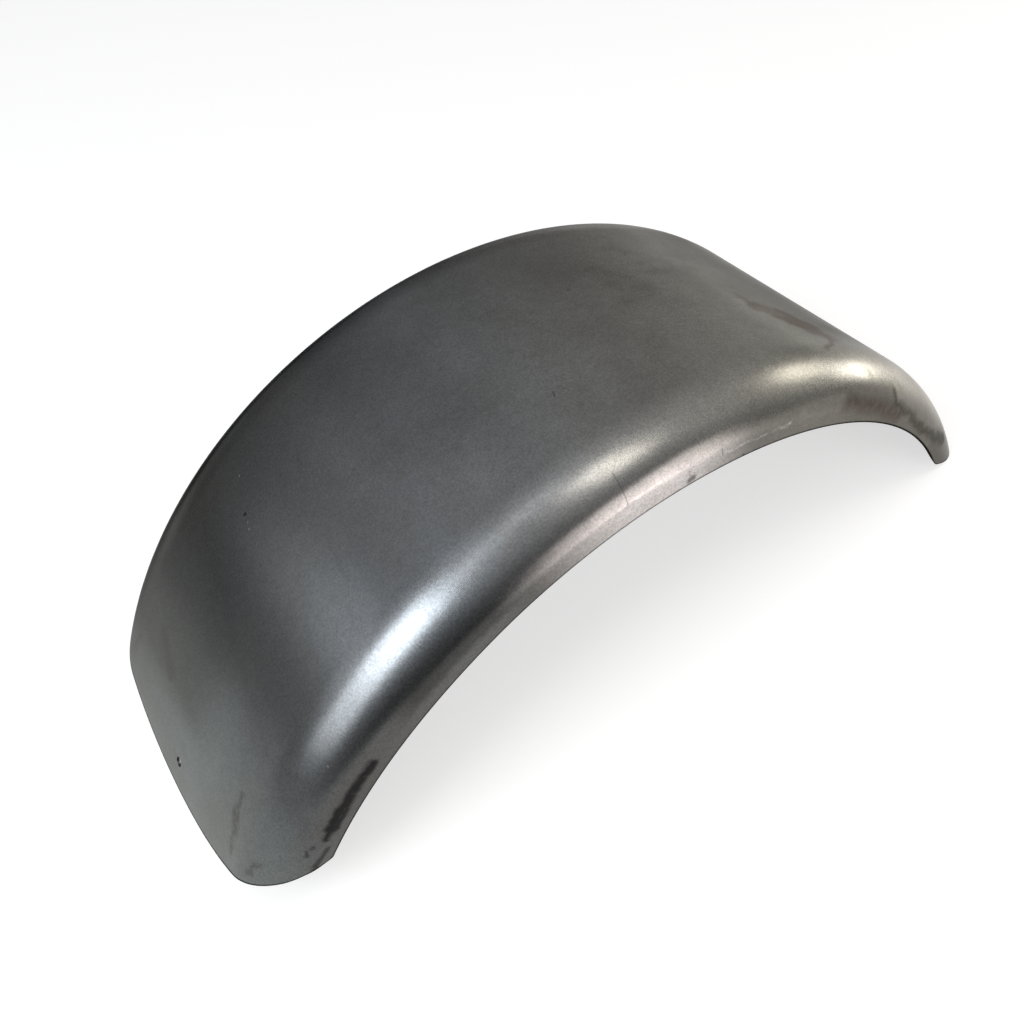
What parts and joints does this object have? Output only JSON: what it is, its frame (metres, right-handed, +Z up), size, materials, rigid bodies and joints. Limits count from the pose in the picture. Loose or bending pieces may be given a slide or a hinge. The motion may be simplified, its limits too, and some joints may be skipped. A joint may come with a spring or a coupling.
{
  "type": "motorcycle fender",
  "caption": "Short, wide arched wheel fender in bare sheet steel, with a flat crown, rounded shoulders, shallow skirts and a bolt hole near its bowed end.",
  "frame": {"origin": "centre of the footprint, on the ground that the two ends stand on", "axes": "+X along the wheel from the holed end to the plain end, +Y across the wheel, +Z up from the ground to the crown"},
  "size_m": [0.6286, 0.26, 0.2062],
  "materials": {
    "steel": "bare cold-rolled sheet, satin, with scale stains, smudges and fine scratches"
  },
  "bodies": {
    "root": {"fender": "steel"}
  },
  "joints": []
}
